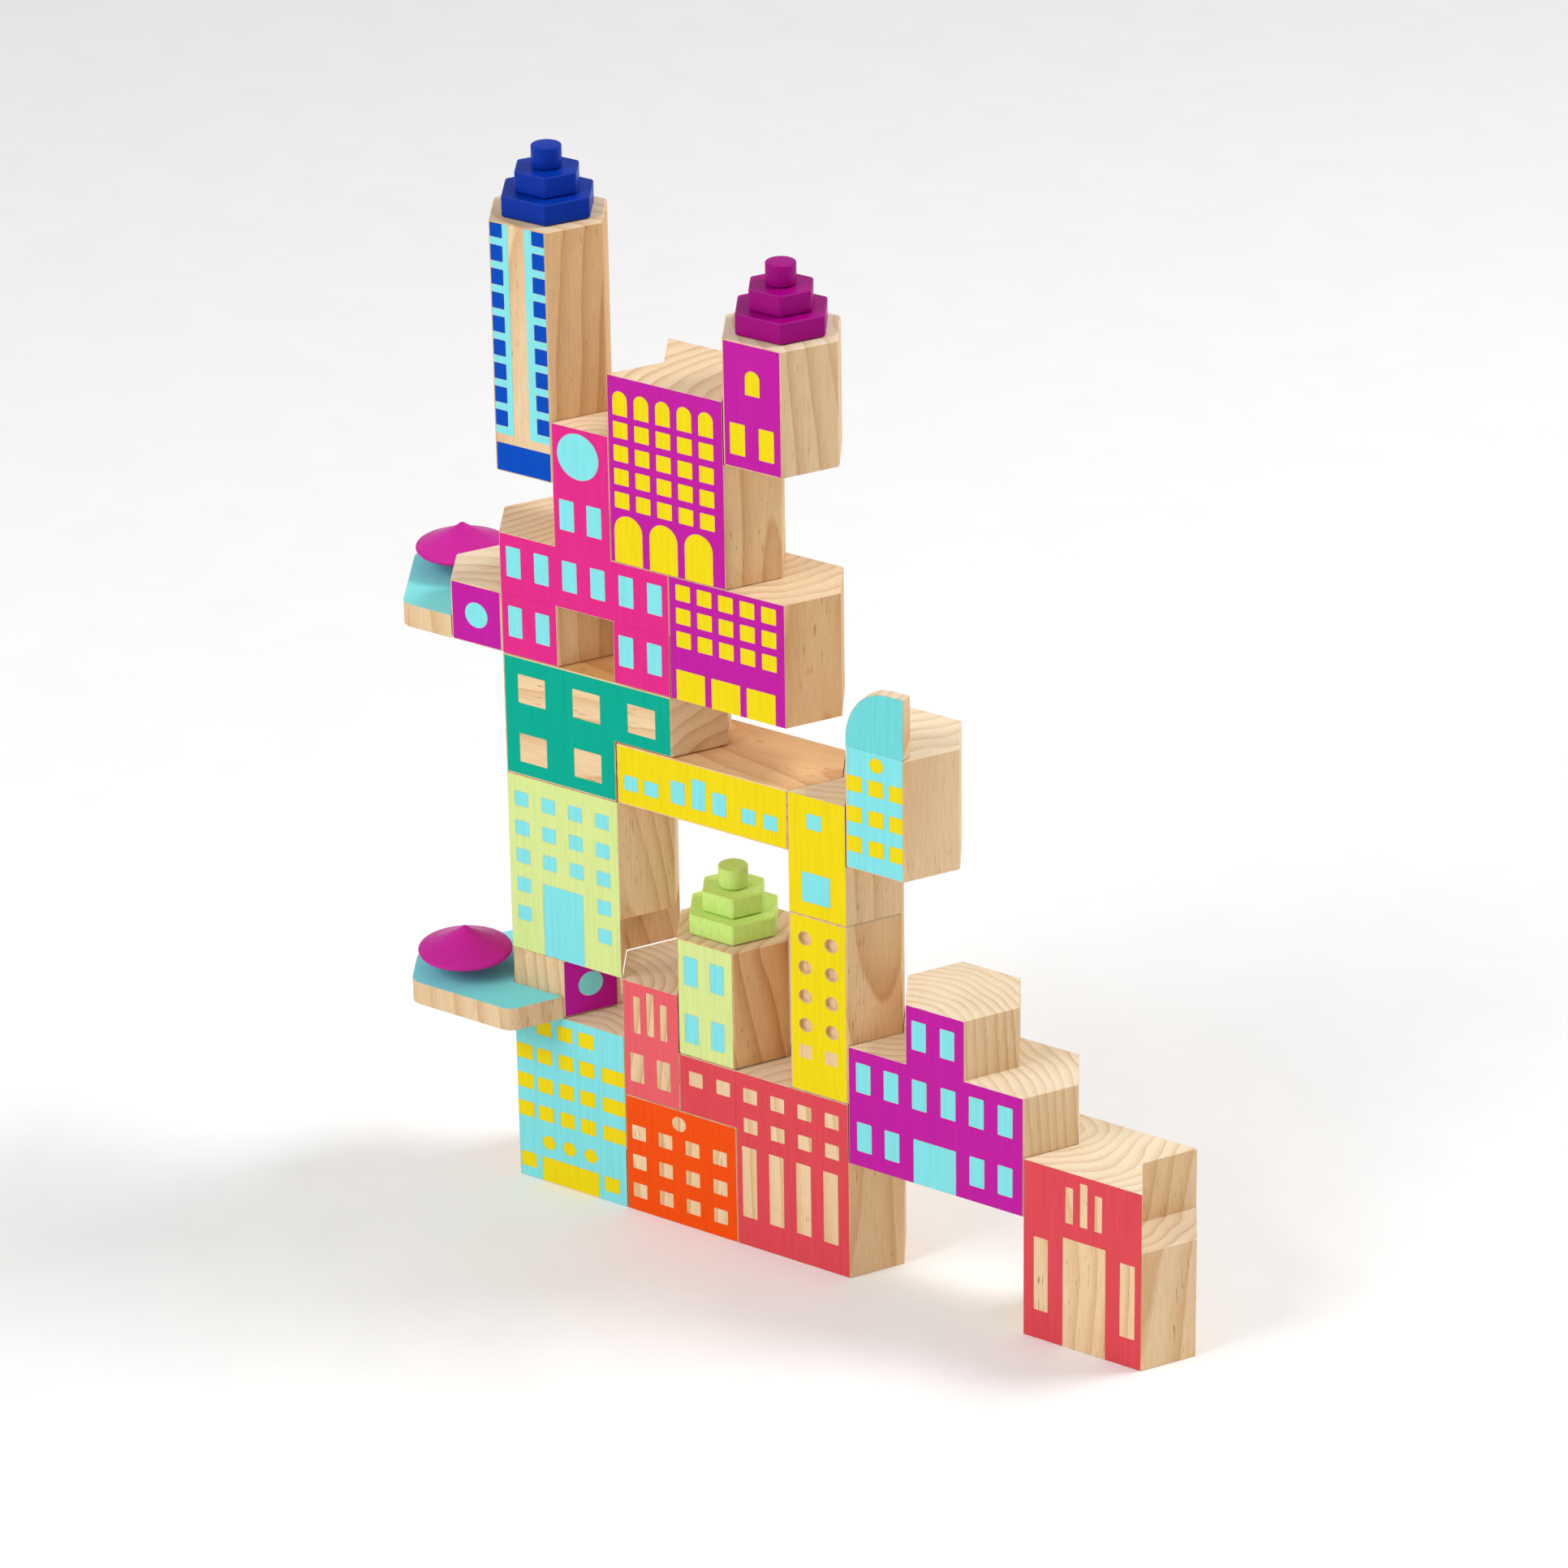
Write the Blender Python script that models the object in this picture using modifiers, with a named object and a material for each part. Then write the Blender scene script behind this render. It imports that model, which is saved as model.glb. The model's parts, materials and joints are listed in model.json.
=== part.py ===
"""A set of painted pine city blocks, stacked as a tower and a row of houses.

Every block is cut from the same plan: a facade side MODULE wide for each unit, and ends that
are either a point or a matching notch, so that neighbours key into each other. Units are metres,
+Z is up, the facades face -Y, and the origin is on the floor under the middle of the red hall.
"""
import math

import bmesh
import bpy
from mathutils import Matrix, Vector

# Driving dimensions
MODULE = 0.0240          # facade width of one unit
SLANT = 0.0220           # length of a slanted side, and of every side of a terrace block
STOREY = 0.0235          # height of one storey
GAP = 0.0003             # clearance left between pieces that touch
EDGE = 0.0004            # eased edge of a block
CORNER = 0.0060          # rounded corner of a terrace slab

# What follows from them
POINT = SLANT / 2                        # how far a pointed end stands out
HALF_DEPTH = SLANT * math.sqrt(3) / 2    # depth of the point's tip behind the facade
DEPTH = 2 * HALF_DEPTH
BEYOND = 0.004                           # how far a cutter runs past the wood
CUT_WIDTH = 0.30                         # a cutter is wider than any block

# Crowns: three glued steps, each a share of the block below it
CROWN_BASE = 0.77
CROWN_MIDDLE = 0.54
CROWN_STEP = 0.0080
PEG_RADIUS = 0.00535
PEG_HEIGHT = 0.0080

# Terrace blocks: a hexagonal room, a thin slab against it and a cone on a short dowel
SLAB = 0.0088
CONE_RADIUS = 0.0172
CONE_HEIGHT = 0.0086
CONE_RIM = 0.0016
CONE_UNDERSIDE = 0.0028
DOWEL_RADIUS = 0.0040
DOWEL_HEIGHT = 0.0036

# Drilled rounds of the perforated tower: places across in modules, heights in storeys
ROUND_RADIUS = 0.0027
ROUND_DEPTH = 0.0016
ROUND_ACROSS = (0.27, 0.73)
ROUND_TOP = 5.61
ROUND_PITCH = 0.487

# The arch tower's parapet
PARAPET_THICK = 0.0044
PARAPET_TOP = 9.98       # in storeys
PARAPET_SWEEP = (0.0166, 0.0204)   # the quarter round's reach across and up

# The origin: the middle of the red hall's floor
ORIGIN_X = 5 * MODULE + POINT / 2
ORIGIN_Y = HALF_DEPTH

COLOURS = {
    "blue": (0.010, 0.060, 0.420), "magenta": (0.480, 0.010, 0.260), "purple": (0.420, 0.020, 0.330),
    "teal": (0.000, 0.330, 0.230), "yellow": (0.830, 0.640, 0.010), "lime": (0.620, 0.760, 0.200),
    "green": (0.360, 0.620, 0.080), "aqua": (0.200, 0.720, 0.720), "orange": (0.800, 0.080, 0.010),
    "red": (0.640, 0.040, 0.050), "wood": (0.760, 0.560, 0.320),
}


def clear_scene():
    for item in list(bpy.data.objects):
        bpy.data.objects.remove(item, do_unlink=True)


def collection(name):
    group = bpy.data.collections.new(name)
    bpy.context.scene.collection.children.link(group)
    return group


def material(name, colour, roughness=0.45):
    made = bpy.data.materials.new(name)
    made.use_nodes = True
    shader = made.node_tree.nodes["Principled BSDF"]
    shader.inputs["Base Color"].default_value = (*COLOURS[colour], 1.0)
    shader.inputs["Roughness"].default_value = roughness
    shader.inputs["Metallic"].default_value = 0.0
    return made


def column(number):
    """X of a column's left edge, from the stack's left corner."""
    return number * MODULE


def prism(name, outline, low, high, group):
    """An upright prism on a closed plan outline, made from a filled 2D curve about its middle."""
    middle = sum((Vector(point) for point in outline), Vector((0, 0))) / len(outline)
    curve = bpy.data.curves.new(name, "CURVE")
    curve.dimensions = "2D"
    curve.fill_mode = "BOTH"
    curve.extrude = (high - low) / 2
    spline = curve.splines.new("POLY")
    spline.points.add(len(outline) - 1)
    for point, (x, y) in zip(spline.points, outline):
        point.co = (x - middle.x, y - middle.y, 0.0, 1.0)
    spline.use_cyclic_u = True
    drawn = bpy.data.objects.new(name, curve)
    drawn.location = (middle.x, middle.y, (low + high) / 2)
    group.objects.link(drawn)
    bpy.context.view_layer.update()
    graph = bpy.context.evaluated_depsgraph_get()
    mesh = bpy.data.meshes.new_from_object(drawn.evaluated_get(graph))
    place = drawn.matrix_world.copy()
    bpy.data.objects.remove(drawn, do_unlink=True)
    shell = bmesh.new()
    shell.from_mesh(mesh)
    bmesh.ops.remove_doubles(shell, verts=shell.verts, dist=1e-6)
    bmesh.ops.recalc_face_normals(shell, faces=shell.faces)
    shell.to_mesh(mesh)
    shell.free()
    solid = bpy.data.objects.new(name, mesh)
    solid.matrix_world = place
    group.objects.link(solid)
    return solid


def make_cutter(solid):
    solid.hide_render = True
    solid.display_type = "WIRE"
    return solid


def cut(solid, cutter):
    step = solid.modifiers.new("cut", "BOOLEAN")
    step.operation = "DIFFERENCE"
    step.object = cutter
    step.solver = "EXACT"


def ease(solid, width=EDGE):
    """Takes the sharp edges off, as sanding does."""
    step = solid.modifiers.new("ease", "BEVEL")
    step.width = width
    step.segments = 1
    step.limit_method = "ANGLE"
    step.angle_limit = math.radians(25)


def end_line(edge, kind, side, past):
    """Points of a block's end from front to back, with its two slants carried on past the wood.

    side is +1 at the right end and -1 at the left; kind is point or notch.
    """
    out = side if kind == "point" else -side
    reach = past / SLANT
    front = (edge - out * POINT * reach, -HALF_DEPTH * reach)
    tip = (edge + out * POINT, HALF_DEPTH)
    back = (edge - out * POINT * reach, DEPTH + HALF_DEPTH * reach)
    return [front, tip, back]


class Block:
    """One block: the hull from its first to its last column, then storeys trimmed by cutters."""

    def __init__(self, name, columns, storeys, trims, colour, wood, cutters):
        self.name = name
        self.cutters = cutters
        self.left, self.right = column(columns[0]), column(columns[1])
        low, high = (level * STOREY for level in storeys)
        self.low = low + GAP / 2 if storeys[0] > 0 else low
        self.high = high - GAP / 2
        half = GAP / 2
        outline = [
            (self.left + half, half), (self.right - half, half),
            (self.right + POINT - half, HALF_DEPTH), (self.right - half, DEPTH - half),
            (self.left + half, DEPTH - half), (self.left - POINT + half, HALF_DEPTH),
        ]
        self.solid = prism(name, outline, self.low, self.high, wood)
        self.solid.data.materials.append(material(name + "_wood", colour))
        for trim in trims:
            self.trim(*trim)
        ease(self.solid)

    def trim(self, side, number, kind, first, last):
        """Ends the storeys from first to last at a column line, as a point or a notch."""
        edge = column(number) - side * GAP / 2
        line = end_line(edge, kind, side, BEYOND)
        far = edge + side * CUT_WIDTH
        outline = line + [(far, line[2][1]), (far, line[0][1])]
        low, high = first * STOREY, last * STOREY
        low = self.low - BEYOND if low <= self.low + GAP else low - GAP / 2
        high = self.high + BEYOND if high >= self.high - GAP else high + GAP / 2
        name = f"{self.name}_end_{len(self.solid.modifiers)}"
        cut(self.solid, make_cutter(prism(name, outline, low, high, self.cutters)))


def hexagon(left, width, share=1.0):
    """A block's own six-sided plan, shrunk towards its middle by share."""
    middle = Vector((left + width / 2, HALF_DEPTH))
    corners = [
        (left, 0), (left + width, 0), (left + width + POINT, HALF_DEPTH),
        (left + width, DEPTH), (left, DEPTH), (left - POINT, HALF_DEPTH),
    ]
    return [tuple(middle + (Vector(corner) - middle) * share) for corner in corners]


def turned(name, profile, place, group, steps=48):
    """A turned piece: its profile runs down the outer side, top to bottom, in X and Z."""
    mesh = bpy.data.meshes.new(name)
    spin = bmesh.new()
    points = [spin.verts.new((radius, 0.0, height)) for radius, height in profile]
    for first, second in zip(points, points[1:]):
        spin.edges.new((first, second))
    spin.to_mesh(mesh)
    spin.free()
    solid = bpy.data.objects.new(name, mesh)
    solid.location = place
    group.objects.link(solid)
    step = solid.modifiers.new("turn", "SCREW")
    step.steps = steps
    step.render_steps = steps
    step.use_merge_vertices = True
    step.merge_threshold = 0.00001
    step.use_smooth_shade = True
    return solid


def crown(name, block_column, floor, colour, wood):
    """Three glued steps on a tower: two hexagons and a round peg."""
    left = column(block_column)
    low = floor + GAP / 2
    for part, share in (("base", CROWN_BASE), ("middle", CROWN_MIDDLE)):
        outline = hexagon(left, MODULE, share)
        solid = prism(f"{name}_crown_{part}", outline, low, low + CROWN_STEP - GAP, wood)
        solid.data.materials.append(material(f"{name}_crown_{part}_paint", colour))
        ease(solid)
        low += CROWN_STEP
    height = PEG_HEIGHT - GAP
    profile = [(0, height), (PEG_RADIUS - EDGE, height), (PEG_RADIUS, height - EDGE),
               (PEG_RADIUS, EDGE), (PEG_RADIUS - EDGE, 0), (0, 0)]
    peg = turned(f"{name}_crown_peg", profile, (left + MODULE / 2, HALF_DEPTH, low), wood, 40)
    peg.data.materials.append(material(f"{name}_crown_peg_paint", colour))


def rounded(corners, radius, round_from, steps=5):
    """A convex outline whose corners from round_from on are turned by an arc."""
    outline = []
    for index, corner in enumerate(corners):
        if index < round_from:
            outline.append(corner)
            continue
        here = Vector(corner)
        before = (Vector(corners[index - 1]) - here).normalized()
        after = (Vector(corners[(index + 1) % len(corners)]) - here).normalized()
        half = before.angle(after) / 2
        centre = here + (before + after).normalized() * (radius / math.sin(half))
        start = here + before * (radius / math.tan(half)) - centre
        sweep = math.pi - 2 * half
        for step in range(steps + 1):
            turn = Matrix.Rotation(sweep * step / steps, 2)
            outline.append(tuple(centre + turn @ start))
    return outline


def turn_plan(outline, degrees, pivot):
    turn = Matrix.Rotation(math.radians(degrees), 2)
    return [tuple(Vector(pivot) + turn @ Vector(point)) for point in outline]


def terrace_block(name, corner, degrees, storey, groups):
    """A hexagonal room with a terrace slab round two of its sides, and a cone on a dowel.

    The plan is drawn from the room's front left corner, then turned and put at corner.
    """
    wood, cutters = groups
    side = SLANT - GAP
    tip, back = side / 2, side * math.sqrt(3) / 2
    low, high = storey * STOREY + GAP / 2, (storey + 1) * STOREY - GAP / 2
    room_plan = [(0, 0), (side, 0), (side + tip, back), (side, 2 * back), (0, 2 * back), (-tip, back)]
    plan = turn_plan(room_plan, degrees, corner)
    room = prism(f"{name}_room", plan, low, high, wood)
    room.data.materials.append(material(f"{name}_room_wood", "purple"))
    ease(room)
    slab_plan = rounded([(0, 0), (2 * tip, 2 * back), (tip, 3 * back), (-3 * tip, 3 * back),
                         (-4 * tip, 2 * back), (-2 * tip, 0)], CORNER, 2)
    slab = prism(f"{name}_terrace", turn_plan(slab_plan, degrees, corner), low, low + SLAB, wood)
    slab.data.materials.append(material(f"{name}_terrace_paint", "aqua"))
    wall = [(x + (x - side / 2) * GAP / side, y + (y - back) * GAP / side) for x, y in room_plan]
    wall = turn_plan(wall, degrees, corner)
    cut(slab, make_cutter(prism(f"{name}_room_seat", wall, low - BEYOND, high, cutters)))
    centre = turn_plan([(-2 * tip, 2 * back)], degrees, corner)[0]
    dowel = [(0, DOWEL_HEIGHT), (DOWEL_RADIUS, DOWEL_HEIGHT), (DOWEL_RADIUS, 0), (0, 0)]
    stem = turned(f"{name}_dowel", dowel, (*centre, low + SLAB + GAP), wood, 24)
    stem.data.materials.append(material(f"{name}_dowel_wood", "wood"))
    profile = [
        (0, CONE_UNDERSIDE + CONE_RIM + CONE_HEIGHT),
        (0.0006, CONE_UNDERSIDE + CONE_RIM + CONE_HEIGHT - 0.0002),
        (CONE_RADIUS - 0.0006, CONE_UNDERSIDE + CONE_RIM), (CONE_RADIUS, CONE_UNDERSIDE + CONE_RIM / 2),
        (CONE_RADIUS - 0.0006, CONE_UNDERSIDE), (DOWEL_RADIUS + 0.001, 0), (0, 0),
    ]
    cone = turned(f"{name}_cone", profile, (*centre, low + SLAB + DOWEL_HEIGHT + 2 * GAP), wood, 64)
    cone.data.materials.append(material(f"{name}_cone_paint", "magenta"))


def drilled_rounds(block, cutters):
    """Two columns of four shallow round recesses in the perforated tower's front."""
    for across in ROUND_ACROSS:
        for row in range(4):
            height = (ROUND_TOP - ROUND_PITCH * row) * STOREY
            place = (block.left + across * MODULE, GAP / 2, height)
            mesh = bpy.data.meshes.new("round")
            drill = bmesh.new()
            bmesh.ops.create_cone(drill, cap_ends=True, segments=20, radius1=ROUND_RADIUS,
                                  radius2=ROUND_RADIUS, depth=2 * ROUND_DEPTH)
            drill.to_mesh(mesh)
            drill.free()
            bit = bpy.data.objects.new(f"drill_{row}_{round(across * 100)}", mesh)
            bit.matrix_world = Matrix.Translation(place) @ Matrix.Rotation(math.pi / 2, 4, "X")
            cutters.objects.link(bit)
            cut(block.solid, make_cutter(bit))


# name, columns, storeys, trims (side, column, kind, from storey, to storey), colour.
# Storeys with no trim keep the points of the block's outermost columns.
LEFT, RIGHT = -1, 1
BLOCKS = [
    ("blue_tower", (0, 1), (12, 16), [], "blue"),
    ("pink_hall", (0, 3), (10, 13), [
        (LEFT, 1, "notch", 12, 13), (LEFT, 1, "point", 11, 12), (RIGHT, 2, "point", 11, 13)], "magenta"),
    ("pink_left_leg", (0, 1), (9, 10), [(LEFT, 0, "notch", 9, 10)], "magenta"),
    ("pink_right_leg", (2, 3), (9, 10), [(RIGHT, 3, "notch", 9, 10)], "magenta"),
    ("purple_arcade", (2, 4), (11, 14), [
        (LEFT, 2, "notch", 11, 14), (RIGHT, 4, "notch", 13, 14)], "purple"),
    ("purple_turret", (4, 5), (13, 15), [], "purple"),
    ("purple_garage", (3, 5), (9, 11), [(LEFT, 3, "notch", 10, 11)], "purple"),
    ("teal_block", (0, 3), (7, 9), [(RIGHT, 2, "notch", 7, 8)], "teal"),
    ("yellow_bridge", (2, 5), (7, 8), [], "yellow"),
    ("yellow_upper_tower", (5, 6), (6, 8), [
        (LEFT, 5, "notch", 7, 8), (RIGHT, 6, "notch", 7, 8)], "yellow"),
    ("yellow_perforated_tower", (5, 6), (3, 6), [], "yellow"),
    ("lime_tall_house", (0, 2), (4, 7), [(RIGHT, 2, "notch", 4, 5)], "lime"),
    ("aqua_store", (0, 2), (0, 3), [(RIGHT, 2, "notch", 0, 1)], "aqua"),
    ("red_slit_house", (2, 3), (2, 4), [
        (LEFT, 2, "notch", 2, 3), (RIGHT, 3, "notch", 3, 4)], "red"),
    ("orange_house", (2, 4), (0, 2), [(LEFT, 2, "notch", 1, 2)], "orange"),
    ("red_hall", (4, 6), (0, 3), [
        (LEFT, 4, "notch", 0, 3), (RIGHT, 6, "notch", 2, 3)], "red"),
    ("red_hall_wing", (3, 4), (2, 3), [(LEFT, 3, "notch", 2, 3)], "red"),
    ("lime_small_tower", (3, 4), (3, 5), [], "lime"),
    ("purple_hall", (6, 9), (2, 5), [
        (LEFT, 6, "notch", 3, 4), (LEFT, 7, "point", 4, 5), (RIGHT, 8, "point", 4, 5)], "purple"),
    ("red_gate_house", (9, 11), (0, 3), [
        (LEFT, 9, "notch", 2, 3), (RIGHT, 11, "notch", 2, 3)], "red"),
    ("aqua_arch_tower", (6, 7), (7, 9), [], "aqua"),
]


def arched_parapet(group):
    """The thin front wall on the arch tower, its top left corner a quarter round."""
    left, right = column(6) + GAP / 2, column(7) - GAP / 2
    low, high = 9 * STOREY + GAP / 2, PARAPET_TOP * STOREY
    reach, rise = PARAPET_SWEEP
    corners = [(left, low), (right, low), (right, high)]
    for step in range(13):
        angle = math.pi / 2 * (1 + step / 12)
        corners.append((left + reach * (1 + math.cos(angle)), high - rise * (1 - math.sin(angle))))
    wall = prism("aqua_arch_parapet", corners, -PARAPET_THICK / 2, PARAPET_THICK / 2, group)
    across, up = wall.location.x, wall.location.y
    upright = Matrix.Rotation(math.pi / 2, 4, "X")
    wall.matrix_world = Matrix.Translation((across, (GAP + PARAPET_THICK) / 2, up)) @ upright
    wall.data.materials.append(material("aqua_arch_parapet_paint", "aqua"))
    ease(wall)


def build():
    clear_scene()
    wood, cutters = collection("city_block_tower"), collection("cutters")
    blocks = {}
    for name, columns, storeys, trims, colour in BLOCKS:
        blocks[name] = Block(name, columns, storeys, trims, colour, wood, cutters)
    drilled_rounds(blocks["yellow_perforated_tower"], cutters)
    arched_parapet(wood)
    for name, number, storey, colour in (("blue_tower", 0, 16, "blue"), ("purple_turret", 4, 15, "magenta"),
                                         ("lime_small_tower", 3, 5, "green")):
        crown(name, number, storey * STOREY, colour, wood)
    half = GAP / 2
    terrace_block("upper_disc", (column(0) - SLANT + half, half), 0, 9, (wood, cutters))
    terrace_block("lower_disc", (column(0) + SLANT, half), 60, 3, (wood, cutters))
    stand = bpy.data.objects.new("stand", None)
    stand.location = (-ORIGIN_X, -ORIGIN_Y, 0.0)
    wood.objects.link(stand)
    for piece in [*wood.objects, *cutters.objects]:
        if piece is not stand:
            piece.parent = stand


build()
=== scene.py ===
"""Looks for a stack of painted pine city blocks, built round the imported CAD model.

The wooden solids are the CAD nodes with a pine material. Printed paint is a thin closed plate on each
facade, cut round its windows, and the windows' own paint is a second plate set in those holes.
"""
import json
import math

import bmesh
import bpy
from mathutils import Matrix, Vector
from mathutils.geometry import delaunay_2d_cdt


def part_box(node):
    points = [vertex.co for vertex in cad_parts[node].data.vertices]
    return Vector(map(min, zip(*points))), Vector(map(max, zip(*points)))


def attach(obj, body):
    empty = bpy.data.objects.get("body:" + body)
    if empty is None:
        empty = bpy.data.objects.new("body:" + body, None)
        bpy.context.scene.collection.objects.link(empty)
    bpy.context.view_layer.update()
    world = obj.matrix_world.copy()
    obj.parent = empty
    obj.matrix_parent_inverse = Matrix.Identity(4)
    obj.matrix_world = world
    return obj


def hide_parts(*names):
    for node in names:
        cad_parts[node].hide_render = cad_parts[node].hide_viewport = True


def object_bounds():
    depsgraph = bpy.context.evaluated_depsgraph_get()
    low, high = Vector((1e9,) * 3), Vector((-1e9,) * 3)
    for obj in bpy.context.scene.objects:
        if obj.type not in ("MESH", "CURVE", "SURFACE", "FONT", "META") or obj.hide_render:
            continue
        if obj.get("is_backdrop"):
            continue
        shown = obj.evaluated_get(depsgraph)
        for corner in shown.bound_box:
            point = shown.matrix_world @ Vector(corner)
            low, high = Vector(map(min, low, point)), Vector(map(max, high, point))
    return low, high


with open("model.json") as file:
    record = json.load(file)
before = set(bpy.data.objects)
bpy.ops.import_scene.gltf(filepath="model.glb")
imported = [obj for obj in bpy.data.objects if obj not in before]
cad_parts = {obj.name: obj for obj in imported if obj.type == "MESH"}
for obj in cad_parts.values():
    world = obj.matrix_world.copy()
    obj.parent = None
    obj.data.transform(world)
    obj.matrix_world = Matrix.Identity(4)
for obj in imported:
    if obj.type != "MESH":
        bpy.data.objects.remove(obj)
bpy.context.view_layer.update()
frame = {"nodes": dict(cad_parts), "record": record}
nodes = frame["nodes"]
bodies = frame["record"]["behaviour"]["bodies"]
body_of = {node: body for body, members in bodies.items() for node in members}

# The blocks' own dimensions, in metres
MODULE = 0.0240
SLANT = 0.0220
STOREY = 0.0235
GAP = 0.0003
HALF_DEPTH = SLANT * math.sqrt(3) / 2
ORIGIN_X = 5 * MODULE + SLANT / 4

# The printed paint
FILM = 0.00007           # how far the paint stands off the wood
SUNK = 0.00003           # how far its back lies in the wood
MARGIN = 0.00010         # bare line left inside a facade's eased edge
HALO = 0.00016           # bare line left round a painted window
ROUND = 0.00030          # corner radius of a printed window
MILLI = 1000.0           # plates are triangulated in millimetres

# Colours as the eye sees them, 0 to 255
WOOD_LIGHT, WOOD_DARK = (237, 209, 170), (212, 168, 118)
# darker orange of the slanted sides and tops: partly heartwood, partly painted shade
HEART_AND_SHADE_LIGHT, HEART_AND_SHADE_DARK = (222, 174, 116), (186, 124, 68)
# end grain: paler wood, with painted skylight on the tops
END_SKYLIT_LIGHT, END_SKYLIT_DARK = (235, 224, 202), (210, 179, 140)
TICK = (132, 78, 42)
PRINTS = {               # each printed colour and its slot in the CAD model
    "blue": ((0, 74, 186), "blue_paint"),
    "aqua": ((130, 224, 228), "aqua_paint"),
    "deep_aqua": ((112, 212, 214), "aqua_paint"),
    "pink": ((222, 42, 134), "magenta_paint"),
    "purple": ((190, 28, 158), "purple_paint"),
    "yellow": ((238, 214, 18), "yellow_paint"),
    "teal": ((0, 168, 142), "teal_paint"),
    "lime": ((214, 230, 146), "lime_paint"),
    "red": ((220, 74, 84), "red_paint"),
    "coral": ((231, 96, 104), "red_paint"),
    "orange": ((242, 80, 12), "orange_paint"),
}
CROWN_BLUE, CROWN_MAGENTA, CROWN_GREEN = (0, 48, 156), (156, 0, 120), (198, 230, 122)
CONE_MAGENTA = (196, 36, 150)

# Wood
DEFAULT_HEART_AND_SHADE = 0.12          # heartwood and painted shade of a block that the heart-and-shade table doesn't name
GOLDEN_ANGLE = 137.5     # degrees from one log's pith to the next one's
PITH_NEAR = 0.022        # the nearest pith to the middle of its upright piece
PITH_STEP = 0.006        # how much further the others are, up to six times over
LEAN = 0.11              # the most that an upright pith leans, in radians
RING_NARROW = 0.0040     # the narrowest growth ring
RING_STEP = 0.0007       # how much wider the others are, up to four times over
TONE_DARK = 0.97         # the darkest log
TONE_STEP = 0.025        # how much lighter the others are, up to three times over
PITH_UNDER = Vector((0.0, 0.008, -0.021))       # where the pith of a lengthwise block is, from its middle
LEAN_UNDER = (0.0, 0.10, 0.06)


def linear(colour, share=1.0):
    """An sRGB colour of 0 to 255 as linear RGBA, its light scaled by share."""
    def one(value):
        value /= 255
        return value / 12.92 if value <= 0.04045 else ((value + 0.055) / 1.055) ** 2.4
    return (*(min(1.0, one(c) * share) for c in colour), 1.0)


# Materials

class Nodes:
    """A material's node tree, with short calls to add nodes and links."""

    def __init__(self, name):
        self.material = bpy.data.materials.new(name)
        self.material.use_nodes = True
        self.tree = self.material.node_tree
        self.shader = self.tree.nodes["Principled BSDF"]

    def add(self, kind, inputs=None, **settings):
        node = self.tree.nodes.new("ShaderNode" + kind)
        for key, value in settings.items():
            setattr(node, key, value)
        for key, value in (inputs or {}).items():
            if isinstance(value, bpy.types.NodeSocket):
                self.tree.links.new(value, node.inputs[key])
            else:
                node.inputs[key].default_value = value
        return node

    def scaled(self, source, scale, shift=(0, 0, 0)):
        return self.add("Mapping", {"Vector": source, "Location": shift, "Scale": scale}).outputs[0]

    def noise(self, vector, scale=1.0, detail=3.0, roughness=0.55):
        return self.add("TexNoise", {"Vector": vector, "Scale": scale, "Detail": detail,
                                     "Roughness": roughness}).outputs["Fac"]

    def ramp(self, factor, *stops):
        node = self.add("ValToRGB", {"Fac": factor})
        band = node.color_ramp
        for index, (place, value) in enumerate(stops):
            element = band.elements[index] if index < 2 else band.elements.new(place)
            element.position = place
            element.color = value if len(value) == 4 else (*value, 1.0)
        return node.outputs["Color"]

    def grey(self, factor, *stops):
        return self.ramp(factor, *((place, (value, value, value, 1.0)) for place, value in stops))

    def mix(self, factor, first, second, blend="MIX"):
        node = self.add("Mix", data_type="RGBA", blend_type=blend)
        for socket, value in ((node.inputs[0], factor), (node.inputs[6], first), (node.inputs[7], second)):
            if isinstance(value, bpy.types.NodeSocket):
                self.tree.links.new(value, socket)
            else:
                socket.default_value = value
        return node.outputs[2]

    def math(self, operation, first, second=0.0):
        return self.add("Math", {0: first, 1: second}, operation=operation).outputs[0]

    def link(self, socket, name):
        self.tree.links.new(socket, self.shader.inputs[name])

    def bump(self, height, strength, distance):
        made = self.add("Bump", {"Strength": strength, "Distance": distance, "Height": height})
        self.link(made.outputs[0], "Normal")


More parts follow.
